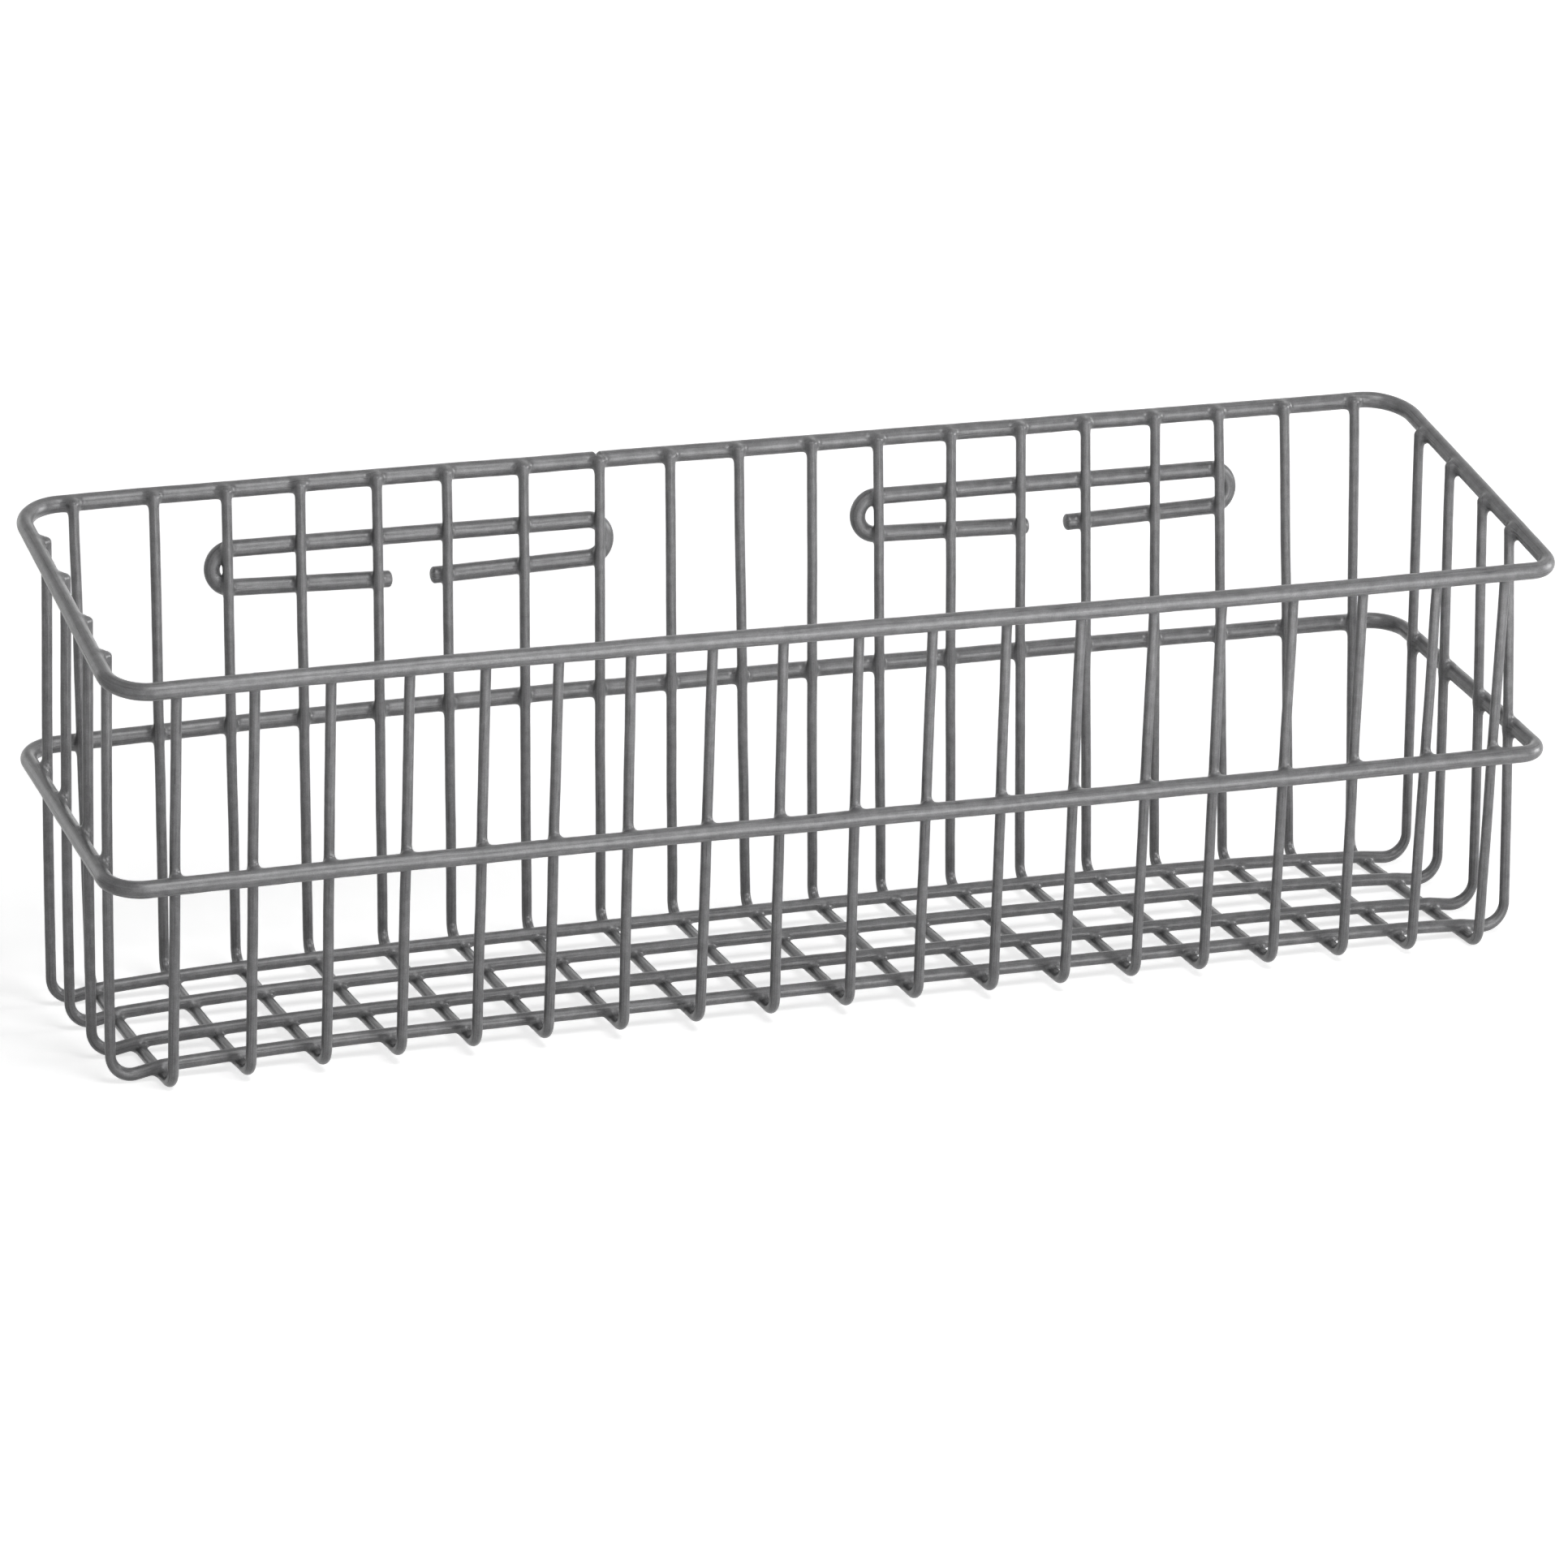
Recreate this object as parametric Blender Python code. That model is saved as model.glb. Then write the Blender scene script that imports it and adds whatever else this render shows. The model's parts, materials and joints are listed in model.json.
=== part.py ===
# Wire storage basket: nineteen cross wires and four long wires bent into deep U shapes,
# held by two heavy rims and hung from two slotted wire loops on the back.
# Metres, +Z up, +X along the basket, +Y towards the wall. The origin is under the middle of the floor.
from math import atan2, cos, pi, radians, sin

import bmesh
import bpy
from mathutils import Vector

# Wire stock, measured over the coating
THIN_WIRE = 0.00335        # diameter of the cross and long wires
HEAVY_WIRE = 0.0053        # diameter of the rims and hangers
WELD_GAP = 0.0003          # left between two wires where they are welded
WIRE_SIDES = 12            # flats round a wire, a flat on each side that meets another wire

# Cross wires, front to back
CROSS_WIRES = 19
CROSS_PITCH = 0.0254
FLOOR_DEPTH = 0.1035       # between the front and back legs, at the floor
MOUTH_DEPTH = 0.1184       # between the front and back legs, at the top rim
CROSS_BEND = 0.0056        # bend radius on the wire's centre line

# Long wires, side to side, lying on the cross wires
LONG_WIRES = 4
LONG_PITCH = 0.0265
END_REACH = 0.0164         # from the last cross wire out to the side legs, at the floor
END_LEAN = 0.00175         # how far the side legs lean in by the top rim
LONG_BEND = 0.0078
FLOOR_CROWN = 0.0033       # rise of the floor's middle above its two end wires
CROWN_POWER = 5            # how late the floor falls away towards its ends

# Rims, heights of the wire's centre above the floor
TOP_FRONT = 0.1363
TOP_BACK = 0.1646
MIDDLE_FRONT = 0.0711
MIDDLE_BACK = 0.0853
TOP_CORNER = 0.0147        # corner radius on the wire's centre line
MIDDLE_CORNER = 0.0118
LEG_RISE = 0.002           # leg ends above the centre of the top rim

# Hangers, flat loops on the outside of the back legs
HANGER_DROP = 0.0206       # top rim down to the hanger's upper run, centre to centre
HANGER_LOOP = 0.0131       # upper run to lower run, centre to centre
HANGER_SPAN = 5            # cross pitches under each hanger
HANGER_OVERHANG = 0.007    # round end beyond the last leg it crosses
KEY_GAP = 0.0133           # opening in the lower run, where a wall screw goes in
ARM_DROOP = 0.0013         # free ends hang lower than the round ends

# Rounds left by the coating on cut ends, and how finely bends are cut
END_ROUND_share = 0.45     # length of a rounded end, of the wire's radius
END_FACE_share = 0.72      # radius of its flat tip, of the wire's radius
BEND_STEPS = 5
CORNER_STEPS = 7
LOOP_STEPS = 10
CROWN_STEPS = 12

COATING = (0.212, 0.212, 0.205, 1.0)
COATING_ROUGHNESS = 0.42
SMOOTH_ANGLE = radians(40)

thin = THIN_WIRE / 2
heavy = HEAVY_WIRE / 2
seat = thin + WELD_GAP + heavy
last_cross = (CROSS_WIRES - 1) / 2 * CROSS_PITCH
flare = (MOUTH_DEPTH - FLOOR_DEPTH) / 2
front_lean = flare / TOP_FRONT
back_lean = flare / TOP_BACK
side_lean = 2 * END_LEAN / (TOP_FRONT + TOP_BACK)
hanger_height = TOP_BACK - HANGER_DROP

X = Vector((1, 0, 0))
Y = Vector((0, 1, 0))


# Places that the wires share

def front_leg(height):
    return -FLOOR_DEPTH / 2 - front_lean * height


def back_leg(height):
    return FLOOR_DEPTH / 2 + back_lean * height


def right_leg(height):
    return last_cross + END_REACH - side_lean * height


def crown(x):
    return FLOOR_CROWN * (1 - abs(x / last_cross) ** CROWN_POWER)


def top_rim_height(y):
    front, back = front_leg(TOP_FRONT) - seat, back_leg(TOP_BACK) + seat
    return TOP_FRONT + (y - front) / (back - front) * (TOP_BACK - TOP_FRONT)


def spread(count, pitch):
    return [(k - (count - 1) / 2) * pitch for k in range(count)]


# A wire is a polygon carried along stations, each a point of the centre line and its direction

def straight(start, end):
    direction = (end - start).normalized()
    return [(start, direction), (end, direction)]


def bend(before, corner, after, radius, steps):
    arriving = (corner - before).normalized()
    leaving = (after - corner).normalized()
    turn = arriving.angle(leaving)
    inward = (leaving - arriving * arriving.dot(leaving)).normalized()
    start = corner - arriving * radius * sin(turn / 2) / cos(turn / 2)
    stations = []
    for k in range(steps + 1):
        angle = turn * k / steps
        point = start + (arriving * sin(angle) + inward * (1 - cos(angle))) * radius
        stations.append((point, arriving * cos(angle) + inward * sin(angle)))
    return stations


def rounded_ends(stations, radius):
    length = radius * END_ROUND_share
    first, first_way = stations[0]
    last, last_way = stations[-1]
    head = [(first, first_way), (first + first_way * length, first_way)]
    tail = [(last - last_way * length, last_way), (last, last_way)]
    path = head + stations[1:-1] + tail
    radii = [radius * END_FACE_share] + [radius] * (len(path) - 2) + [radius * END_FACE_share]
    return path, radii


def add_ring(mesh, point, direction, side, radius):
    across = direction.cross(side)
    corner_radius = radius / cos(pi / WIRE_SIDES)
    ring = []
    for k in range(WIRE_SIDES):
        angle = 2 * pi * (k + 0.5) / WIRE_SIDES
        ring.append(mesh.verts.new(point + (side * cos(angle) + across * sin(angle)) * corner_radius))
    return ring


def join_rings(mesh, one, two):
    for k in range(WIRE_SIDES):
        n = (k + 1) % WIRE_SIDES
        mesh.faces.new((one[k], one[n], two[n], two[k]))


def wire_mesh(name, path, radii, side_of, closed=False):
    mesh = bmesh.new()
    rings = [add_ring(mesh, point, way, side_of(way), radius)
             for (point, way), radius in zip(path, radii)]
    for one, two in zip(rings, rings[1:]):
        join_rings(mesh, one, two)
    if closed:
        join_rings(mesh, rings[-1], rings[0])
    else:
        mesh.faces.new(rings[0][::-1])
        mesh.faces.new(rings[-1])
    bmesh.ops.recalc_face_normals(mesh, faces=mesh.faces)
    data = bpy.data.meshes.new(name)
    mesh.to_mesh(data)
    mesh.free()
    data.shade_smooth()
    data.set_sharp_from_angle(angle=SMOOTH_ANGLE)
    return data


def coating(name):
    material = bpy.data.materials.new(name + "_coating")
    material.use_nodes = True
    shader = material.node_tree.nodes["Principled BSDF"]
    shader.inputs["Base Color"].default_value = COATING
    shader.inputs["Roughness"].default_value = COATING_ROUGHNESS
    shader.inputs["Metallic"].default_value = 0.0
    material.diffuse_color = COATING
    return material


def add_part(name, data, parent, location=(0, 0, 0), tilt=0.0):
    part = bpy.data.objects.new(name, data)
    part.parent = parent
    part.location = location
    part.rotation_euler = (tilt, 0, 0)
    bpy.context.scene.collection.objects.link(part)
    # each part has a coating of its own, also where two parts share a mesh
    if not data.materials:
        data.materials.append(None)
    part.material_slots[0].link = "OBJECT"
    part.material_slots[0].material = coating(name)
    return part


# The sub-parts

def cross_wire(number, x, basket):
    floor = thin + crown(x)
    rear_top = TOP_BACK + LEG_RISE
    front_top = TOP_FRONT + LEG_RISE
    rear_end = Vector((0, back_leg(rear_top), rear_top))
    rear_corner = Vector((0, back_leg(floor), floor))
    front_corner = Vector((0, front_leg(floor), floor))
    front_end = Vector((0, front_leg(front_top), front_top))
    stations = straight(rear_end, rear_corner)[:1]
    stations += bend(rear_end, rear_corner, front_corner, CROSS_BEND, BEND_STEPS)
    stations += bend(rear_corner, front_corner, front_end, CROSS_BEND, BEND_STEPS)
    stations += straight(front_corner, front_end)[1:]
    name = f"cross_wire_{number:02d}"
    path, radii = rounded_ends(stations, thin)
    data = wire_mesh(name, path, radii, lambda way: X)
    add_part(name, data, basket, location=(x, 0, 0))


def crowned_floor(height):
    stations = []
    for k in range(CROWN_STEPS + 1):
        x = last_cross * (2 * k / CROWN_STEPS - 1)
        fall = -CROWN_POWER * FLOOR_CROWN / last_cross * abs(x / last_cross) ** (CROWN_POWER - 1)
        slope = fall if x > 0 else -fall
        stations.append((Vector((x, 0, height + crown(x))), Vector((1, 0, slope)).normalized()))
    return stations


def long_wire(number, y, basket):
    floor = crowned_floor(thin + THIN_WIRE + WELD_GAP)
    last, way = floor[-1]
    corner_height = last.z + (right_leg(last.z) - last.x) * way.z / way.x
    top = top_rim_height(y) + LEG_RISE
    right_corner = Vector((right_leg(corner_height), 0, corner_height))
    right_end = Vector((right_leg(top), 0, top))
    left_corner = Vector((-right_corner.x, 0, corner_height))
    left_end = Vector((-right_end.x, 0, top))
    stations = straight(left_end, left_corner)[:1]
    stations += bend(left_end, left_corner, floor[0][0], LONG_BEND, BEND_STEPS)
    stations += floor
    stations += bend(floor[-1][0], right_corner, right_end, LONG_BEND, BEND_STEPS)
    stations += straight(right_corner, right_end)[1:]
    name = f"long_wire_{number}"
    path, radii = rounded_ends(stations, thin)
    data = wire_mesh(name, path, radii, lambda way: Y)
    add_part(name, data, basket, location=(0, y, 0))


def rim(name, front_height, back_height, corner_radius, basket):
    front = front_leg(front_height) - seat
    back = back_leg(back_height) + seat
    slope = atan2(back_height - front_height, back - front)
    length = (right_leg((front_height + back_height) / 2) + seat) * 2
    depth = (back - front) / cos(slope)
    quadrants = ((1, 1), (-1, 1), (-1, -1), (1, -1))
    corners = [Vector((right * length / 2, rear * depth / 2, 0)) for right, rear in quadrants]
    path = []
    for k, corner in enumerate(corners):
        path += bend(corners[k - 1], corner, corners[(k + 1) % 4], corner_radius, CORNER_STEPS)
    upright = Vector((0, sin(slope), cos(slope)))
    radii = [heavy] * len(path)
    data = wire_mesh(name, path, radii, lambda way: way.cross(upright).normalized(), closed=True)
    centre = (0, (front + back) / 2, (front_height + back_height) / 2)
    add_part(name, data, basket, location=centre, tilt=slope)


def hanger_mesh():
    turn = HANGER_LOOP / 2
    reach = HANGER_SPAN * CROSS_PITCH / 2 + HANGER_OVERHANG - heavy - turn
    tip = Vector((KEY_GAP / 2, 0, -HANGER_LOOP - ARM_DROOP))
    heel = Vector((reach, 0, -HANGER_LOOP))
    right = straight(tip, heel)[:1]
    for k in range(LOOP_STEPS + 1):
        angle = pi * k / LOOP_STEPS
        point = Vector((reach + turn * sin(angle), 0, -turn - turn * cos(angle)))
        right.append((point, Vector((cos(angle), 0, sin(angle)))))
    left = [(Vector((-p.x, p.y, p.z)), Vector((way.x, 0, -way.z))) for p, way in reversed(right)]
    path, radii = rounded_ends(right + left, heavy)
    return wire_mesh("hanger", path, radii, lambda way: Y)


def hangers(basket):
    data = hanger_mesh()
    lean = atan2(back_lean, 1)
    behind = back_leg(hanger_height) + seat / cos(lean)
    outer_leg = last_cross - 2 * CROSS_PITCH
    middle = outer_leg - HANGER_SPAN * CROSS_PITCH / 2
    for name, x in (("left_hanger", -middle), ("right_hanger", middle)):
        add_part(name, data, basket, location=(x, behind, hanger_height), tilt=-lean)


def build():
    for old in list(bpy.data.objects):
        bpy.data.objects.remove(old)
    basket = bpy.data.objects.new("basket", None)
    bpy.context.scene.collection.objects.link(basket)
    for number, x in enumerate(spread(CROSS_WIRES, CROSS_PITCH), start=1):
        cross_wire(number, x, basket)
    for number, y in enumerate(spread(LONG_WIRES, LONG_PITCH), start=1):
        long_wire(number, y, basket)
    rim("top_rim", TOP_FRONT, TOP_BACK, TOP_CORNER, basket)
    rim("middle_rim", MIDDLE_FRONT, MIDDLE_BACK, MIDDLE_CORNER, basket)
    hangers(basket)


build()
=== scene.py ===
# Wire storage basket, dressed: every faceted wire is replaced by a round one with its baked coating,
# which pools where two wires are welded and rounds off their cut ends.
# Lengths are millimetres, or metres where a note says so; x runs to the right, y to the wall, z up.
import json
import math
import bpy
import numpy as np
from mathutils import Matrix

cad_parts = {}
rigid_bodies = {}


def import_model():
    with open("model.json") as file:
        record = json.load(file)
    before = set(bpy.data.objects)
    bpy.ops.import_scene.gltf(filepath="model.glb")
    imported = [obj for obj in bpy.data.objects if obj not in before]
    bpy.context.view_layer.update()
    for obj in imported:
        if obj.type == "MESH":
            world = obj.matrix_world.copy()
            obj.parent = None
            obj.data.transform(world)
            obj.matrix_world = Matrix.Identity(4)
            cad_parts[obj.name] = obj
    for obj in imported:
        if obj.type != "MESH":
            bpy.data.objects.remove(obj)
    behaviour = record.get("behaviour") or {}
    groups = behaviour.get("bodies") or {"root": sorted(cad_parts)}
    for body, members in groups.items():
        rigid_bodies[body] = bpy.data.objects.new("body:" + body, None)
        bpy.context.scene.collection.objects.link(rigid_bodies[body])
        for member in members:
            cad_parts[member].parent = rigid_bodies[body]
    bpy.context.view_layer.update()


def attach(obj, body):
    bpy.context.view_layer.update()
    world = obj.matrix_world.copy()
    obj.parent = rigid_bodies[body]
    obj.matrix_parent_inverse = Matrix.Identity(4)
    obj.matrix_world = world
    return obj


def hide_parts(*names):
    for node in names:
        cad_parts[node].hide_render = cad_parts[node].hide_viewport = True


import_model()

metre = 0.001     # a millimetre, in metres
perMetre = 1000


def say(text):
    print("basket:", text)


def unit(way):
    return way / np.linalg.norm(way)


def unitRows(ways):
    return ways / np.linalg.norm(ways, axis=-1)[..., None]


# The wire itself

wire = {
    "radius": {"thin": 1.72, "heavy": 2.65},    # over the coating: cross and long wires, rims and hangers
    # how much fuller than an upright a wire is where it runs along the length, and where it runs to the wall
    "fuller": {"thin": (0.24, 0.11), "heavy": (0.07, 0.02)},
    "wander": 0.10, "wanderPeriod": 90,         # how far it strays from its own line, and in what waves
    "waver": 0.010, "waverPeriod": 14,          # share by which the coating's thickness comes and goes
    "domeShare": {"thin": 0.9, "heavy": 0.5},   # length of a rounded end, of the wire's radius
    "sides": {"thin": 24, "heavy": 32},
}


# The cage that all the wires follow; -1 is its left end and 1 its right end

cage = {
    "crossCount": 19, "pitch": 25.4,
    # how far front legs, back legs and ends stand from the middle, and its growth per mm of height
    "frontFloor": 52.08, "frontLean": 0.05466,
    "backFloor": 52.08, "backLean": 0.04526,
    "endFloor": {-1: 245.03, 1: 245.22},
    "endLean": {-1: -0.0096, 1: -0.0223},   # the rims pull the ends in, the right one more
    "endBelly": {-1: 0.5, 1: 0.3},          # between the floor and the top rim the ends bow out
    "crown": 3.3, "crownPower": 5,          # the floor's middle stands above its end wires
    "sag": (0.45, 0.9),                     # its front edge hangs lower, all along and in one dip
    "dip": (150, 90),                       # the dip's place and breadth along the length
    "rimSeat": 3.965,                       # rim's centre outside the legs' centres
    "uneven": 0.3,                          # how far the cut lengths differ
    "clear": 0.03, "waverRoom": 1.5,        # air under the lowest wires, and room for this many wavers
}


def crossPlace(k):
    return (k - (cage["crossCount"] - 1) / 2) * cage["pitch"]


def ofReach(x):
    return np.asarray(x) / ((cage["crossCount"] - 1) / 2 * cage["pitch"])


def frontLeg(z):
    return -cage["frontFloor"] - cage["frontLean"] * z


def backLeg(z):
    return cage["backFloor"] + cage["backLean"] * z


def endLeg(side, z):
    # A straight lean, and a parabola that is nought on the floor and at the top rim.
    share = np.clip(np.asarray(z) / rims["top_rim"]["front"], 0, 1)
    straight = cage["endFloor"][side] + cage["endLean"][side] * z
    return side * (straight + cage["endBelly"][side] * 4 * share * (1 - share))


def floorLift(x, y=0):
    # The crown is a flat-topped arch: one less a high power of the distance from the middle. The sag is
    # an even share and a bell-shaped dip, whole at the front edge and fading to nought at the back one.
    arch = 1 - np.abs(ofReach(x)) ** cage["crownPower"]
    place, breadth = cage["dip"]
    sag = cage["sag"][0] + cage["sag"][1] * np.exp(-((np.asarray(x) - place) / breadth) ** 2)
    toFront = (cage["backFloor"] - y) / (cage["frontFloor"] + cage["backFloor"])
    return (cage["crown"] - sag * toFront) * arch


def lowest():
    # centre height of a cross wire's floor run where it stands on the ground
    fuller = 1 + wire["fuller"]["thin"][1] + cage["waverRoom"] * wire["waver"]
    return wire["radius"]["thin"] * fuller + cage["clear"]


def cutLengths(seed, rise):
    # how far a wire's two ends stand above the top rim's centre
    return np.array(rise) + cage["uneven"] * np.random.default_rng(seed).uniform(-1, 1, 2)


pathDetail = {"step": 0.25, "arcPoints": 24}


def bentPath(corners, bends, closed=False):
    # Straight runs between corners; each corner with a bend gets the arc that touches both its runs, which
    # starts the bend's radius times the tangent of half the turn before it. The points are spaced evenly.
    corners = [np.asarray(corner, float) for corner in corners]
    count = len(corners)
    pieces = []
    for k, (corner, bend) in enumerate(zip(corners, bends)):
        if bend == 0 or (not closed and k in (0, count - 1)):
            pieces.append(corner[None])
            continue
        arriving = unit(corner - corners[k - 1])
        leaving = unit(corners[(k + 1) % count] - corner)
        turn = np.arccos(np.clip(arriving @ leaving, -1, 1))
        inward = unit(leaving - arriving * (arriving @ leaving))
        start = corner - arriving * bend * np.tan(turn / 2)
        angle = np.linspace(0, turn, pathDetail["arcPoints"])[:, None]
        pieces.append(start + (arriving * np.sin(angle) + inward * (1 - np.cos(angle))) * bend)
    if closed:
        pieces.append(pieces[0][:1])
    points = np.vstack(pieces)
    along = wayAlong(points)
    return sampleAt(points, along, np.linspace(0, along[-1], int(along[-1] / pathDetail["step"]) + 1))


def wayAlong(path):
    return np.concatenate([[0], np.cumsum(np.linalg.norm(np.diff(path, axis=0), axis=1))])


def sampleAt(path, along, places):
    return np.stack([np.interp(places, along, path[:, axis]) for axis in range(3)], -1)


# Rims

rims = {
    # bends are those of the corners, from the back right one round by the left; seats are the rim's centre
    # outside the ends' centres; a bow is lift, tilt, curl and the drops of its left and right end
    "top_rim": {
        "front": 136.2, "back": 164.25, "bends": (14.4, 14.4, 13.0, 8.0), "seats": {-1: 3.965, 1: 3.5},
        "frontBow": (0.05, -1.55, 1.1, 0.5, 0), "backBow": (0, 0, 0, 0.7, 0),
    },
    "middle_rim": {
        "front": 71.1, "back": 85.3, "bends": (11.5, 11.5, 11.5, 7.5), "seats": {-1: 3.6, 1: 2.3},
        "frontBow": (0.08, -0.95, 0.5, 0.6, 0), "backBow": (0.3, 0, 0, 2.3, 0.6),
    },
}
dropLimit = 1.1     # a rim's end drops no further than this far out, of the legs' reach


def bow(rim, run, x):
    # A lift, a tilt, a curl by the cube of the way from the middle, and a drop by its cube at either end.
    lift, tilt, curl, left, right = rim[run]
    u = ofReach(x)
    curled = lift + tilt * u + curl * u ** 3
    return curled - left * np.clip(-u, 0, dropLimit) ** 3 - right * np.clip(u, 0, dropLimit) ** 3


def rimSides(rim):
    return frontLeg(rim["front"]) - cage["rimSeat"], backLeg(rim["back"]) + cage["rimSeat"]


def rimHeight(rim, x, y):
    # The heights of the front and the back run, shared by the distance from each.
    front, back = rimSides(rim)
    share = (y - front) / (back - front)
    frontHeight = rim["front"] + bow(rim, "frontBow", x)
    backHeight = rim["back"] + bow(rim, "backBow", x)
    return frontHeight * (1 - share) + backHeight * share


def rimPath(rim):
    # A rounded rectangle as seen from above, then given its heights.
    front, back = rimSides(rim)
    middle = (rim["front"] + rim["back"]) / 2
    left, right = (endLeg(side, middle) + side * rim["seats"][side] for side in (-1, 1))
    corners = [(right, back, 0), (left, back, 0), (left, front, 0), (right, front, 0)]
    path = bentPath(corners, rim["bends"], closed=True)
    path[:, 2] = rimHeight(rim, path[:, 0], path[:, 1])
    return path


# Cross wires

crossWire = {
    "bend": 5.6,
    "rise": (1.8, 1.15),    # leg ends above the top rim's centre, back and front
    "floorPoints": 9,
    # legs off the even pitch, to the right, low down and at the top rim
    "strayFront": {
        0: (0.6, 1.7), 1: (0.7, 1.4), 2: (0.3, 0.7), 3: (-0.2, 1.1), 4: (-0.3, 0.6),
        5: (-1.5, -0.7), 6: (-1.2, -1.9), 7: (-0.4, 0.2), 8: (0, -1.2), 9: (0.8, -0.8),
        10: (-0.5, -0.7), 11: (0.9, -0.4), 12: (0.9, 0.2), 13: (1.0, 0.6), 14: (0.4, -0.6),
        15: (0.1, -0.3), 16: (0.7, -0.6), 17: (0.9, 1.0), 18: (0.5, 0.5),
    },
    "strayBack": {
        0: (-0.1, -0.7), 1: (-0.1, 0.8), 2: (-0.9, -0.2), 3: (-1.3, -0.6), 4: (-0.7, 0.4),
        5: (-1.8, -1.0), 6: (-0.7, 0.4), 7: (0.3, 1.6), 8: (0.7, 1.2), 9: (1.8, 0.1),
        10: (0.8, 1.0), 11: (0.6, -0.5), 12: (1.0, 0.6), 13: (1.6, 0.8), 14: (1.2, -0.7),
        15: (1.6, -0.2), 16: (2.3, -1.8), 17: (2.4, -2.4), 18: (0.9, -1.1),
    },
    # and how far the middle of a floor run bows to the right
    "floorBow": {
        0: -1.2, 1: -1.1, 2: -1.1, 3: -0.9, 4: -0.6, 5: -0.4, 6: -0.4, 7: -0.4, 8: -0.3, 9: -0.2, 15: -0.3,
    },
}


def crossPath(k):
    # Down the back leg, along the floor and up the front leg; the floor run bows by a parabola.
    top, count = rims["top_rim"], crossWire["floorPoints"]
    x = crossPlace(k)
    rises = cutLengths(k, crossWire["rise"])
    frontLow, frontHigh = x + np.array(crossWire["strayFront"][k])
    backLow, backHigh = x + np.array(crossWire["strayBack"][k])
    backTop = top["back"] + bow(top, "backBow", x) + rises[0]
    frontTop = top["front"] + bow(top, "frontBow", x) + rises[1]
    backFloor = lowest() + floorLift(x, cage["backFloor"])
    frontFloor = lowest() + floorLift(x, -cage["frontFloor"])
    backCorner = np.array([backLow, backLeg(backFloor), backFloor])
    frontCorner = np.array([frontLow, frontLeg(frontFloor), frontFloor])
    share = np.linspace(0, 1, count)[:, None]
    floor = backCorner + (frontCorner - backCorner) * share
    floor[:, 0] += crossWire["floorBow"].get(k, 0) * 4 * (share * (1 - share))[:, 0]
    backEnd = (backHigh, backLeg(backTop), backTop)
    frontEnd = (frontHigh, frontLeg(frontTop), frontTop)
    bends = [0, crossWire["bend"]] + [0] * (count - 2) + [crossWire["bend"], 0]
    return bentPath([backEnd, *floor, frontEnd], bends)


# Long wires

longWire = {
    "pitch": 26.5,      # between their rows
    "lift": 2.6,        # above the cross wires, centre to centre
    "bend": {-1: 7.0, 1: 8.0},
    "foot": {-1: (1.0, 0), 1: (2.25, 0.009)},   # the bend's height, and its growth per mm to the wall
    "rise": 1.3,        # ends above the top rim's centre
    "floorPoints": 61, "uprightPoints": 9, "leanPower": 1.5,
    "seedShift": 200,   # this and a row's place make its seed
    # rows off the even pitch, to the wall
    "stray": {"long_wire_1": -0.4, "long_wire_2": -1.5, "long_wire_3": 0.6, "long_wire_4": 0.7},
    # and uprights off their row, at the foot and at the top
    "leanBack": {
        ("long_wire_1", -1): (0.8, 1.8), ("long_wire_4", -1): (-1.5, -1.5),
        ("long_wire_1", 1): (1.2, 5.0), ("long_wire_2", 1): (0, 0.6),
        ("long_wire_3", 1): (0, -2.4), ("long_wire_4", 1): (-0.8, -4.2),
    },
}


def uprightPath(name, side, y, floorEnd, rise):
    # From the bend's corner to the top in even steps: out by the end's lean and bow, and back by a power of
    # the height. The corner stands as far out as the end does at the height where the floor run ends.
    low, high = longWire["leanBack"].get((name, side), (0, 0))
    rim = rims["top_rim"]
    top = rimHeight(rim, endLeg(side, rim["back"]), y + high) + rise
    foot, growth = longWire["foot"][side]
    foot += growth * y
    heights = np.linspace(foot, top, longWire["uprightPoints"])
    share = (heights - foot) / (top - foot)
    out = endLeg(side, heights) + endLeg(side, floorEnd) - endLeg(side, foot)
    return np.stack([out, y + low + (high - low) * share ** longWire["leanPower"], heights], -1)


def longPath(name, y):
    # Down the left upright, along the floor and up the right one; the floor run slants to meet both feet.
    x = np.linspace(crossPlace(0), crossPlace(cage["crossCount"] - 1), longWire["floorPoints"])
    z = wire["radius"]["thin"] + longWire["lift"] + floorLift(x, y)
    rises = cutLengths(int(y + longWire["seedShift"]), longWire["rise"])
    left = uprightPath(name, -1, y, z[0], rises[0])[::-1]
    right = uprightPath(name, 1, y, z[-1], rises[-1])
    floor = np.stack([x, np.interp(x, (x[0], 0, x[-1]), (left[-1, 1], y, right[0, 1])), z], -1)
    straight = [0] * (longWire["uprightPoints"] - 1)
    bends = straight + [longWire["bend"][-1]] + [0] * len(floor) + [longWire["bend"][1]] + straight
    return bentPath([*left, *floor, *right], bends)


# Hangers

hanger = {
    "places": {"left_hanger": -114.3, "right_hanger": 114.3},
    "top": 144.0, "loop": 13.1,         # height of the upper run, and how far under it the lower one lies
    "halfSpan": 63.5, "overhang": 7.0,  # from the middle to the outer legs, and past them
    "gap": 13.3, "droop": 1.5,          # between the two ends, which hang this much lower
    # left and right half longer, and the gap further right
    "stray": {"left_hanger": (0.4, 0.5, 0), "right_hanger": (2.2, -0.4, -0.7)},
}


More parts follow.
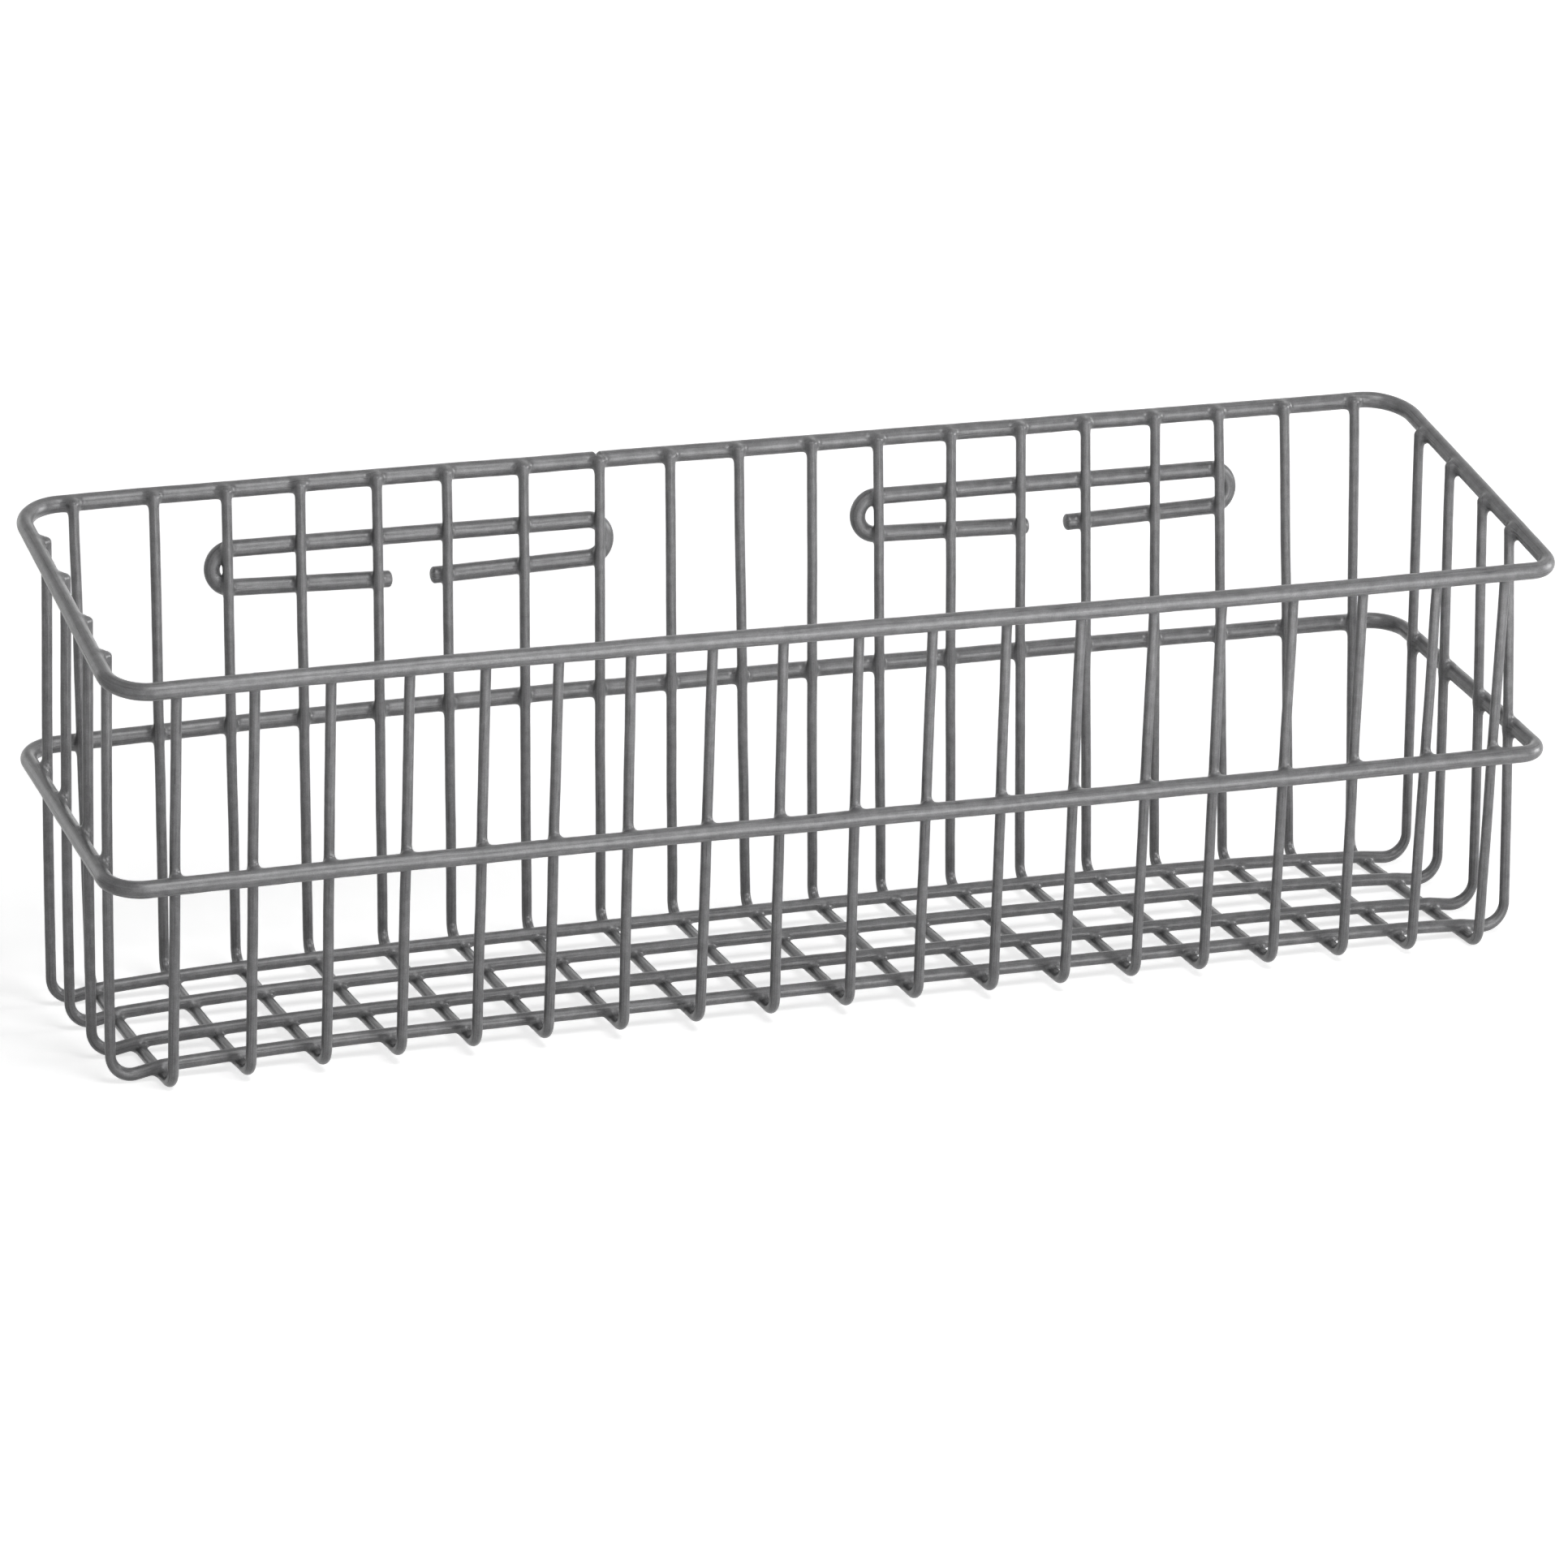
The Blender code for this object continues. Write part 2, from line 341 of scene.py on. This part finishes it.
def hangerPath(centre, stray):
    # From the gap's left side round by the left, over the top and back by the right.
    top, bend, half = hanger["top"], hanger["loop"] / 2, hanger["gap"] / 2
    low = top - hanger["loop"]
    tip = low - hanger["droop"]
    span = hanger["halfSpan"] + hanger["overhang"] - wire["radius"]["heavy"]
    left, right = (span + more for more in stray[:2])
    outline = [(stray[2] - half, tip), (bend - left, low), (-left, low), (-left, top)]
    outline += [(right, top), (right, low), (right - bend, low), (stray[2] + half, tip)]
    corners = [(centre + x, backLeg(z) + cage["rimSeat"], z) for x, z in outline]
    return bentPath(corners, [0, 0, bend, bend, bend, bend, 0, 0])


crossNames = [f"cross_wire_{k + 1:02d}" for k in range(cage["crossCount"])]
middleRow = (len(longWire["stray"]) - 1) / 2
rows = enumerate(longWire["stray"].items())
longRows = {name: (k - middleRow) * longWire["pitch"] + stray for k, (name, stray) in rows}
paths = {name: crossPath(k) for k, name in enumerate(crossNames)}
paths.update({name: longPath(name, y) for name, y in longRows.items()})
paths.update({name: rimPath(rim) for name, rim in rims.items()})
paths.update({name: hangerPath(x, hanger["stray"][name]) for name, x in hanger["places"].items()})
kinds = {name: "heavy" if name in rims or name in hanger["places"] else "thin" for name in paths}
radii = {name: wire["radius"][kind] for name, kind in kinds.items()}
say(f"{len(paths)} wire paths")


# Welds: where two wires cross, found as the nearest points to the place where they should

weld = {
    "rimBlend": 3.0,                # how far the coating reaches from one wire to the other round a rim
    "hangerBlend": 2.3,             # round a hanger
    "floorBlend": 2.0,              # and where a long wire lies on a cross wire
    "overrun": 1.6,                 # each wire's half of the pool runs on under the other's half
    "tuck": 0.06,                   # and lies this share lower there
    "reach": 6.5,                   # along the wire, to both sides
    "runReach": 9.0, "runStep": 3,  # stretch of the other wire that counts, and one in how many of its points
    "halvings": 12,
}


def crossings():
    # Every two wires that cross, and about where.
    found = []
    for k, name in enumerate(crossNames):
        x = crossPlace(k)
        for rimName, rim in rims.items():
            found.append((name, rimName, (x, frontLeg(rim["front"]), rim["front"])))
            found.append((name, rimName, (x, backLeg(rim["back"]), rim["back"])))
        for longName, y in longRows.items():
            found.append((name, longName, (x, y, lowest() + floorLift(x, y))))
        for hangerName, centre in hanger["places"].items():
            if abs(x - centre) < hanger["halfSpan"] + cage["pitch"] / 2:
                for z in (hanger["top"], hanger["top"] - hanger["loop"]):
                    found.append((name, hangerName, (x, backLeg(z), z)))
    for longName, y in longRows.items():
        for rimName, rim in rims.items():
            for side in (-1, 1):
                z = rimHeight(rim, endLeg(side, rim["back"]), y)
                lean = longWire["leanBack"].get((longName, side), (0, 0))[1] * z / rims["top_rim"]["back"]
                found.append((longName, rimName, (endLeg(side, z), y + lean, z)))
    return found


def fullness(name, ways):
    # thickness over an upright's, by the squares of the way's parts along the length and to the wall
    return 1 + ways[..., :2] ** 2 @ np.array(wire["fuller"][kinds[name]])


def radiusAt(name, at):
    path = paths[name]
    way = unit(path[min(at + 1, len(path) - 1)] - path[max(at - 1, 0)])
    return radii[name] * fullness(name, way)


def nearest(path, point):
    return int(np.argmin(((path - np.asarray(point, float)) ** 2).sum(-1)))


def runAround(name, at):
    # A short stretch of the wire to both sides of one of its points, less its rounded end.
    path, step = paths[name], weld["runStep"]
    span = int(weld["runReach"] / pathDetail["step"])
    if name in rims:
        return path[np.arange(at - span, at + span + 1, step) % (len(path) - 1)]
    inset = int(radii[name] * wire["domeShare"][kinds[name]] / pathDetail["step"])
    low = max(at - span, inset)
    high = min(at + span, len(path) - 1 - inset)
    return path[np.unique(np.append(np.arange(low, high, step), high))]


def blendOf(other):
    if other in longRows:
        return weld["floorBlend"]
    return weld["rimBlend"] if other in rims else weld["hangerBlend"]


weldsOf = {name: [] for name in paths}
for one, other, guess in crossings():
    atOne = nearest(paths[one], guess)
    atOther = nearest(paths[other], paths[one][atOne])
    weldsOf[one].append((atOne, runAround(other, atOther), radiusAt(other, atOther), blendOf(other)))
    weldsOf[other].append((atOther, runAround(one, atOne), radiusAt(one, atOne), blendOf(other)))
say(f"{sum(map(len, weldsOf.values())) // 2} welds")


def fromRun(points, run):
    # Way to each point from the nearest point of a chain of segments.
    start, way = run[:-1], np.diff(run, axis=0)
    toPoint = points[:, None] - start[None]
    share = np.clip((toPoint * way).sum(-1) / (way * way).sum(-1), 0, 1)
    apart = toPoint - share[..., None] * way
    return apart[np.arange(len(points)), (apart * apart).sum(-1).argmin(1)]


def pool(points, outward, run, radius, blend):
    # How far the coating stands off a wire's own surface near another wire, and which way it faces there.
    # Two distances are blended by taking the smaller, less the square of what they lack of the blend's
    # width over four widths; the rise is where that is nought, found by halving. The facing blends the two
    # wires' own in the same share.
    def distances(rise):
        way = fromRun(points + outward * rise[:, None], run)
        return way, np.linalg.norm(way, axis=1)

    def level(rise):
        other = distances(rise)[1] - radius
        lack = np.clip(blend - np.abs(rise - other), 0, None)
        return np.minimum(rise, other) - lack * lack / (4 * blend)

    middle = blend / 4
    low = np.zeros(len(points))
    high = np.full(len(points), middle * weld["overrun"])
    for _ in range(weld["halvings"]):
        half = (low + high) / 2
        under = level(half) < 0
        low, high = np.where(under, half, low), np.where(under, high, half)
    way, far = distances(high)
    share = np.clip(0.5 + (high - (far - radius)) / (2 * blend), 0, 1)[:, None]
    facing = outward * (1 - share) + way / far[:, None] * share
    return high - weld["tuck"] * np.clip(high - middle, 0, None), facing


# Surfaces

ringGaps = {
    "straight": 2.4, "weld": 0.36, "bend": 0.8, "end": 0.10,
    "bendReach": 5.5,               # to both sides of a bend
    "easeFrom": 2.5, "ease": 0.6,   # from this far inside a weld's or bend's reach, gaps grow by this share
    "endEase": 0.25,                # and by this one from an end
    "sumStep": 0.05,
    "bendTurn": 0.02,               # radians from one path point to the next that make it part of a bend
    "bendEvery": 8,                 # one in so many of a bend's points asks for small gaps
    "lookAhead": 0.4,               # a ring stands square to the way between points this far to both sides
}


def softNoise(along, period, seed, length=None):
    # A smooth wave without a pattern: four sines of unlike lengths and seeded phases, which on a closed wire
    # make whole turns.
    rng = np.random.default_rng(seed)
    total = np.zeros_like(along)
    for share in (1.0, 0.62, 0.41, 0.23):
        turns = 1 / (period * share)
        if length is not None:
            turns = max(1, round(length / (period * share))) / length
        total += share * np.sin(2 * np.pi * (along * turns + rng.random()))
    return total / 2


def ringPlaces(length, weldPlaces, bends, closed):
    # Places of the rings along a wire: each weld, bend and end asks for small gaps that grow with the
    # distance from it, the smallest holds, and the sum of steps over gaps is shared out evenly.
    fine = np.linspace(0, length, int(length / ringGaps["sumStep"]))
    spacing = np.full_like(fine, ringGaps["straight"])
    asking = [(place, weld["reach"], ringGaps["weld"]) for place in weldPlaces]
    asking += [(place, ringGaps["bendReach"], ringGaps["bend"]) for place in bends]
    for place, near, gap in asking:
        away = np.abs(fine - place)
        if closed:
            away = np.minimum(away, length - away)
        grown = np.clip(away - near + ringGaps["easeFrom"], 0, None) * ringGaps["ease"]
        spacing = np.minimum(spacing, gap + grown)
    if not closed:
        away = np.minimum(fine, length - fine)
        spacing = np.minimum(spacing, ringGaps["end"] + away * ringGaps["endEase"])
    count = np.concatenate([[0], np.cumsum((fine[1] - fine[0]) / spacing[:-1])])
    return np.interp(np.linspace(0, count[-1], int(count[-1]) + 2), count, fine)


def bendPlaces(path, along):
    ways = unitRows(np.gradient(path, axis=0))
    turning = np.linalg.norm(np.diff(ways, axis=0), axis=1) > ringGaps["bendTurn"]
    return along[:-1][turning][::ringGaps["bendEvery"]]


def waysAt(path, along, places, closed):
    length, look = along[-1], ringGaps["lookAhead"]
    if closed:
        after, before = (places + look) % length, (places - look) % length
    else:
        after, before = np.minimum(places + look, length), np.maximum(places - look, 0)
    return unitRows(sampleAt(path, along, after) - sampleAt(path, along, before))


# the notch over the weld that closes the top rim, on its back run
buttWeld = {"place": -49.0, "halfWidth": 1.1, "depth": 1.1, "flank": 0.8}


def notch(centre, outward, rise, facing):
    # A V across the rim's top: its depth falls off evenly from the weld's place, and its flanks lean apart.
    off = centre[:, 0] - buttWeld["place"]
    near = (np.abs(off) < buttWeld["halfWidth"]) & (centre[:, 1] > 0)
    share = (1 - np.abs(off) / buttWeld["halfWidth"])[:, None] * np.clip(outward[..., 2], 0, 1)
    rise = np.where(near[:, None], rise - buttWeld["depth"] * share, rise)
    flank = np.sign(off)[:, None, None] * np.array([-1.0, 0, 0]) * np.clip(outward[..., 2:], 0, 1)
    return rise, np.where(near[:, None, None], facing + buttWeld["flank"] * flank, facing)


def roundWire(name, seed):
    # A circle carried along the wire's path, with a waver in its radius, domed at the ends, and lifted at
    # each weld.
    path, radius, sides, closed = paths[name], radii[name], wire["sides"][kinds[name]], name in rims
    along = wayAlong(path)
    length = along[-1]
    welds = weldsOf[name]
    places = ringPlaces(length, along[[at for at, *_ in welds]], bendPlaces(path, along), closed)
    if closed:
        places = places[:-1]
    centre = sampleAt(path, along, places)
    ahead = waysAt(path, along, places, closed)
    # each ring's first point stands off the plane in which the wire is bent
    plane = np.cross(path[len(path) // 4] - path[0], path[len(path) // 2] - path[0])
    if name in crossNames:
        plane = np.array([1.0, 0, 0])
    plane = unit(plane)
    side = unitRows(plane - ahead * (ahead @ plane)[:, None])
    up = np.cross(ahead, side)
    loop = length if closed else None
    centre = centre + side * (wire["wander"] * softNoise(places, wire["wanderPeriod"], seed, loop))[:, None]

    swell = 1 + wire["waver"] * softNoise(places, wire["waverPeriod"], seed + 1, loop)
    swell = swell * fullness(name, ahead)
    angle = np.linspace(0, 2 * np.pi, sides, endpoint=False)
    outward = side[:, None] * np.cos(angle)[None, :, None] + up[:, None] * np.sin(angle)[None, :, None]
    if not closed:
        # a round end is half an ellipsoid: its rings shrink as the root of one less the height squared
        domeShare = wire["domeShare"][kinds[name]]
        height = 1 - np.clip(np.minimum(places, length - places) / (radius * domeShare), 0, 1)
        shrink = np.sqrt(1 - height ** 2)
        swell = swell * shrink
    rings = centre[:, None] + outward * (radius * swell)[:, None, None]
    if not closed:
        # and they face forwards the more, the higher they are
        forwards = ahead * (np.where(places < length / 2, -1, 1) * height / domeShare)[:, None]
        outward = unitRows(outward * shrink[:, None, None] + forwards[:, None])

    rise, facing = np.zeros(rings.shape[:2]), outward.copy()
    for at, run, otherRadius, blend in welds:
        away = np.abs(places - along[at])
        if closed:
            away = np.minimum(away, length - away)
        near = away < weld["reach"]
        points, ways = rings[near].reshape(-1, 3), outward[near].reshape(-1, 3)
        lifted, faced = pool(points, ways, run, otherRadius, blend)
        lifted, faced = lifted.reshape(-1, sides), faced.reshape(-1, sides, 3)
        higher = lifted > rise[near]
        rise[near] = np.where(higher, lifted, rise[near])
        facing[near] = np.where(higher[..., None], faced, facing[near])
    if name == "top_rim":
        rise, facing = notch(centre, outward, rise, facing)
    rings = rings + outward * rise[..., None]
    return rings, facing, np.append(places, length) if closed else places, closed


def meshFromRings(name, rings, facing, places, closed, girth):
    # Quads between neighbouring rings; an open wire's first and last rings are its two poles.
    # The UV map unrolls the wire: round it and along it, both in metres.
    sides = rings.shape[1]
    poles = polesFace = np.zeros((0, 3))
    if not closed:
        poles, polesFace = rings[[0, -1], 0], facing[[0, -1], 0]
        rings, facing, places = rings[1:-1], facing[1:-1], places[1:-1]
    count = len(rings)
    points = np.vstack([rings.reshape(-1, 3), poles]) * metre
    normals = unitRows(np.vstack([facing.reshape(-1, 3), polesFace]))
    index = np.arange(count * sides).reshape(count, sides)
    these = index if closed else index[:-1]
    following = np.roll(index, -1, axis=0) if closed else index[1:]
    quads = np.stack([these, np.roll(these, -1, 1), np.roll(following, -1, 1), following], -1).reshape(-1, 4)
    round0 = np.broadcast_to(np.arange(sides) * girth / sides, these.shape)
    round1 = round0 + girth / sides
    along0 = np.broadcast_to(places[:len(these), None], these.shape)
    along1 = np.broadcast_to(places[1:len(these) + 1, None], these.shape)
    unrolled = np.stack([round0, along0, round1, along0, round1, along1, round0, along1], -1).reshape(-1, 2)
    faces = quads.tolist()
    if not closed:
        head, tail = count * sides, count * sides + 1
        first, last = index[0], index[-1]
        faces += np.stack([np.full(sides, head), np.roll(first, -1), first], -1).tolist()
        faces += np.stack([np.full(sides, tail), last, np.roll(last, -1)], -1).tolist()
        for place, near, far in ((places[0], round1[0], round0[0]), (places[-1], round0[0], round1[0])):
            row = np.full(sides, place)
            fan = np.stack([(near + far) / 2, row, near, row, far, row], -1).reshape(-1, 2)
            unrolled = np.vstack([unrolled, fan])
    mesh = bpy.data.meshes.new(name)
    mesh.from_pydata(points, [], faces)
    mesh.uv_layers.new(name="unrolled").data.foreach_set("uv", (unrolled * metre).ravel())
    mesh.update()
    mesh.shade_smooth()
    # both wires face alike where their pools meet
    mesh.normals_split_custom_set_from_vertices(normals.tolist())
    return mesh


# Materials

def linear(hexColour):
    # An sRGB hex colour turned linear, with full alpha.
    values = np.array([int(hexColour[k:k + 2], 16) for k in (1, 3, 5)]) / 255
    values = np.where(values <= 0.04045, values / 12.92, ((values + 0.055) / 1.055) ** 2.4)
    return (*values.tolist(), 1.0)


def addNode(tree, kind, settings=None, **links):
    # Adds a node; settings go to its properties, and links to its inputs, by name or as i and a number, as
    # values or as other nodes' sockets.
    node = tree.nodes.new(kind)
    for key, value in (settings or {}).items():
        setattr(node, key, value)
    for key, value in links.items():
        numbered = key[0] == "i" and key[1:].isdigit()
        socket = node.inputs[int(key[1:]) if numbered else key.replace("_", " ")]
        if isinstance(value, bpy.types.NodeSocket):
            tree.links.new(value, socket)
        else:
            socket.default_value = value
    return node


coating = {
    "colour": "#6c6c6d", "pale": "#808081", "dark": "#59595a",
    "toneStops": (0.35, 0.65),      # tone at which the dark and the pale colour are reached
    "clouds": 3.5,                  # size of the faint clouds where the coat is thicker or thinner
    "drawn": (0.55, 22.0),          # width and length of the steel's drawing lines, which show through
    "drawnDepth": 0.010,
    "grain": 0.35,                  # tooth of the powder, drawn a little coarser than it is
    "grainDepth": 0.016,
    "noiseSpread": 2,               # a noise keeps to about half its range, so a depth is doubled
    "detail": 2.0, "soft": 0.5, "crisp": 0.6,   # finer layers of the patterns, and how much they count
    "roughness": 0.32,
    "play": 0.05,                   # more and less roughness by the drawing lines
    "playFrom": (0.3, 0.7),         # range of their pattern that counts for it
    "brushed": 0.7,                 # the gloss spreads round the wire, across its drawing lines
    "flake": 0.12,                  # share of aluminium flake in the powder
    "ior": 1.5,
}


def bakedPowderCoat():
    # Silver-grey polyester powder with a little aluminium flake, sprayed on welded drawn wire and baked: an
    # even satin skin, thin enough to show the drawing lines as faint streaks, with a soft gloss along them.
    material = bpy.data.materials.new("bakedPowderCoat")
    material.use_nodes = True
    tree = material.node_tree
    shader = tree.nodes["Principled BSDF"]
    place = addNode(tree, "ShaderNodeTexCoord").outputs["Object"]
    unrolled = addNode(tree, "ShaderNodeUVMap", {"uv_map": "unrolled"}).outputs["UV"]
    width, length = coating["drawn"]
    stretched = addNode(tree, "ShaderNodeMapping", Vector=unrolled,
                        Scale=(perMetre / width, perMetre / length, 1)).outputs["Vector"]
    drawn = addNode(tree, "ShaderNodeTexNoise", {"noise_dimensions": "2D"}, Vector=stretched,
                    Scale=1.0, Detail=coating["detail"], Roughness=coating["crisp"])
    clouds = addNode(tree, "ShaderNodeTexNoise", Vector=place, Scale=perMetre / coating["clouds"],
                     Detail=coating["detail"], Roughness=coating["soft"])
    grain = addNode(tree, "ShaderNodeTexNoise", Vector=place, Scale=perMetre / coating["grain"],
                    Detail=coating["detail"], Roughness=coating["crisp"])

    # the tone is the mean of the three patterns
    adding = {"operation": "ADD"}
    two = addNode(tree, "ShaderNodeMath", adding, i0=clouds.outputs["Fac"], i1=grain.outputs["Fac"])
    three = addNode(tree, "ShaderNodeMath", adding, i0=two.outputs[0], i1=drawn.outputs["Fac"])
    tone = addNode(tree, "ShaderNodeMath", {"operation": "DIVIDE"}, i0=three.outputs[0], i1=3.0)
    ramp = addNode(tree, "ShaderNodeValToRGB", Fac=tone.outputs[0])
    stops = ramp.color_ramp.elements
    stops[0].position, stops[1].position = coating["toneStops"]
    stops[0].color = linear(coating["dark"])
    stops[1].color = linear(coating["pale"])
    stops.new(0.5).color = linear(coating["colour"])
    tree.links.new(ramp.outputs["Color"], shader.inputs["Base Color"])

    (least, most), play = coating["playFrom"], coating["play"]
    gloss = addNode(tree, "ShaderNodeMapRange", Value=drawn.outputs["Fac"], From_Min=least, From_Max=most,
                    To_Min=coating["roughness"] - play, To_Max=coating["roughness"] + play)
    tree.links.new(gloss.outputs["Result"], shader.inputs["Roughness"])
    lines = addNode(tree, "ShaderNodeBump", Height=drawn.outputs["Fac"],
                    Distance=coating["drawnDepth"] * metre * coating["noiseSpread"])
    tooth = addNode(tree, "ShaderNodeBump", Height=grain.outputs["Fac"], Normal=lines.outputs["Normal"],
                    Distance=coating["grainDepth"] * metre * coating["noiseSpread"])
    tree.links.new(tooth.outputs["Normal"], shader.inputs["Normal"])
    tangent = addNode(tree, "ShaderNodeTangent", {"direction_type": "UV_MAP", "uv_map": "unrolled"})
    tree.links.new(tangent.outputs["Tangent"], shader.inputs["Tangent"])
    shader.inputs["Anisotropic"].default_value = coating["brushed"]
    shader.inputs["Metallic"].default_value = coating["flake"]
    shader.inputs["IOR"].default_value = coating["ior"]
    return material


def placed(name, data):
    # A new object in the scene, at the origin.
    thing = bpy.data.objects.new(name, data)
    bpy.context.scene.collection.objects.link(thing)
    return thing


coat = bakedPowderCoat()
seeds = {"first": 100, "step": 10}

for k, name in enumerate(paths):
    rings, facing, places, closed = roundWire(name, seeds["first"] + seeds["step"] * k)
    mesh = meshFromRings(name + "_coated", rings, facing, places, closed, 2 * np.pi * radii[name])
    mesh.materials.append(coat)
    piece = placed(name + "_coated", mesh)
    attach(piece, "root")
    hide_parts(name)
faceCount = sum(len(thing.data.polygons) for thing in bpy.data.objects if thing.name.endswith("_coated"))
say(f"{faceCount} faces of coated wire")


# Floor, light and camera

stage = {
    "floorColour": "#e4e4e4", "floorRoughness": 0.9,
    "floorHalf": 8.0, "floorHeight": -0.0001,       # metres; it lies just under the lowest wires
    "glow": (0.73, 1.0), "glowReach": (0.35, 1.1),  # the floor's own white near and far, and where, in metres
    "ambient": 0.01,
    "middle": 0.08,                                 # height that the lamps face, in metres
}


def seenDirectly(tree):
    # One for what the camera sees, by itself, in gloss or through glass, and nought for light that falls
    # on things.
    rays = addNode(tree, "ShaderNodeLightPath").outputs
    larger = {"operation": "MAXIMUM"}
    both = addNode(tree, "ShaderNodeMath", larger, i0=rays["Is Camera Ray"], i1=rays["Is Glossy Ray"])
    seen = addNode(tree, "ShaderNodeMath", larger, i0=both.outputs[0], i1=rays["Is Transmission Ray"])
    return seen.outputs[0]


def paleFloor():
    # A wide square under the basket: a pale matt studio floor, raised to white for the camera, so that only
    # its shadow shows.
    half, height = stage["floorHalf"], stage["floorHeight"]
    corners = [(x * half, y * half, height) for x, y in ((-1, -1), (1, -1), (1, 1), (-1, 1))]
    mesh = bpy.data.meshes.new("floor")
    mesh.from_pydata(corners, [], [(0, 1, 2, 3)])
    material = bpy.data.materials.new("paleStudioFloor")
    material.use_nodes = True
    tree = material.node_tree
    shader = tree.nodes["Principled BSDF"]
    shader.inputs["Base Color"].default_value = linear(stage["floorColour"])
    shader.inputs["Roughness"].default_value = stage["floorRoughness"]
    shader.inputs["Specular IOR Level"].default_value = 0.0
    shader.inputs["Emission Color"].default_value = (1, 1, 1, 1)
    place = addNode(tree, "ShaderNodeTexCoord").outputs["Object"]
    away = addNode(tree, "ShaderNodeVectorMath", {"operation": "LENGTH"}, i0=place).outputs["Value"]
    (near, far), (nearGlow, farGlow) = stage["glowReach"], stage["glow"]
    white = addNode(tree, "ShaderNodeMapRange", {"interpolation_type": "SMOOTHSTEP"}, Value=away,
                    From_Min=near, From_Max=far, To_Min=nearGlow, To_Max=farGlow).outputs["Result"]
    glow = addNode(tree, "ShaderNodeMath", {"operation": "MULTIPLY"}, i0=seenDirectly(tree), i1=white)
    tree.links.new(glow.outputs[0], shader.inputs["Emission Strength"])
    mesh.materials.append(material)
    placed("floor", mesh)


def whiteSurround():
    # Soft light from all round, seen as plain white.
    world = bpy.data.worlds.new("studioSurround")
    bpy.context.scene.world = world
    world.use_nodes = True
    tree = world.node_tree
    tree.nodes.clear()
    soft = addNode(tree, "ShaderNodeBackground", Color=(1, 1, 1, 1), Strength=stage["ambient"])
    white = addNode(tree, "ShaderNodeBackground", Color=(1, 1, 1, 1), Strength=1.0)
    mix = addNode(tree, "ShaderNodeMixShader", i0=seenDirectly(tree), i1=soft.outputs[0], i2=white.outputs[0])
    addNode(tree, "ShaderNodeOutputWorld", Surface=mix.outputs[0])


def stand(thing, right, up, back, place):
    # Puts a thing at place, with its own X, Y and Z along right, up and back.
    rows = [(*row, p) for row, p in zip(np.stack([right, up, back], 1), place)]
    thing.matrix_world = Matrix(rows + [(0, 0, 0, 1)])


lamps = {   # azimuth and elevation from the basket, distance and width in metres, watts
    "frontSoftbox": (20, 3, 2.6, 1.25, 31),
    "rightSoftbox": (78, 14, 2.8, 1.25, 41),
    "overhead": (6, 59, 1.6, 0.75, 10.3),
    "backLeft": (-150, 14, 2.4, 1.2, 4),
    "backRight": (155, 14, 2.4, 1.2, 4),
}
floorSpot = {   # metres and degrees
    "place": (0.12, -0.85, 1.0), "target": (0.12, -0.8, 0),
    "watts": 180, "cone": 62, "blend": 0.6, "size": 0.1,
}


def aim(lamp, place, target):
    # Its light goes from place to target, and its Y is kept up.
    back = unit(np.array(place) - np.array(target))
    right = unit(np.cross((0, 0, 1), back))
    stand(lamp, right, np.cross(back, right), back, place)


def addLamps():
    middle = (0, 0, stage["middle"])
    for name, (azimuth, elevation, distance, width, watts) in lamps.items():
        data = bpy.data.lights.new(name, "AREA")
        data.shape, data.size, data.energy = "DISK", width, watts
        a, e = math.radians(azimuth), math.radians(elevation)
        x = distance * math.sin(a) * math.cos(e)
        y = -distance * math.cos(a) * math.cos(e)
        aim(placed(name, data), (x, y, middle[2] + distance * math.sin(e)), middle)
    # a spot brightens the floor in front, and the rims show it as a band low on their faces
    data = bpy.data.lights.new("floorSpot", "SPOT")
    data.energy, data.shadow_soft_size = floorSpot["watts"], floorSpot["size"]
    data.spot_size, data.spot_blend = math.radians(floorSpot["cone"]), floorSpot["blend"]
    aim(placed("floorSpot", data), floorSpot["place"], floorSpot["target"])


view = {    # measured from the photograph, millimetres and degrees
    "azimuth": -20.223, "elevation": 17.45, "roll": 0.791,
    "target": (-3.95, 0, 65.278), "distance": 2161.34,
    "focalPixels": 8007.0, "framePixels": 1932, "sensor": 36.0,
    "farthest": 100,    # metres
}


def addCamera():
    a, e, r = (math.radians(view[k]) for k in ("azimuth", "elevation", "roll"))
    back = np.array([math.sin(a) * math.cos(e), -math.cos(a) * math.cos(e), math.sin(e)])
    level = unit(np.cross(-back, (0, 0, 1)))
    upright = np.cross(level, -back)
    right = math.cos(r) * level + math.sin(r) * upright
    up = -math.sin(r) * level + math.cos(r) * upright
    data = bpy.data.cameras.new("camera")
    data.sensor_width = view["sensor"]
    data.lens = view["focalPixels"] / view["framePixels"] * view["sensor"]
    data.clip_end = view["farthest"]
    camera = placed("camera", data)
    stand(camera, right, up, back, (np.array(view["target"]) + back * view["distance"]) * metre)
    bpy.context.scene.camera = camera


paleFloor()
whiteSurround()
addLamps()
addCamera()
bpy.context.scene.view_settings.view_transform = "Standard"
say("floor, lamps and camera")
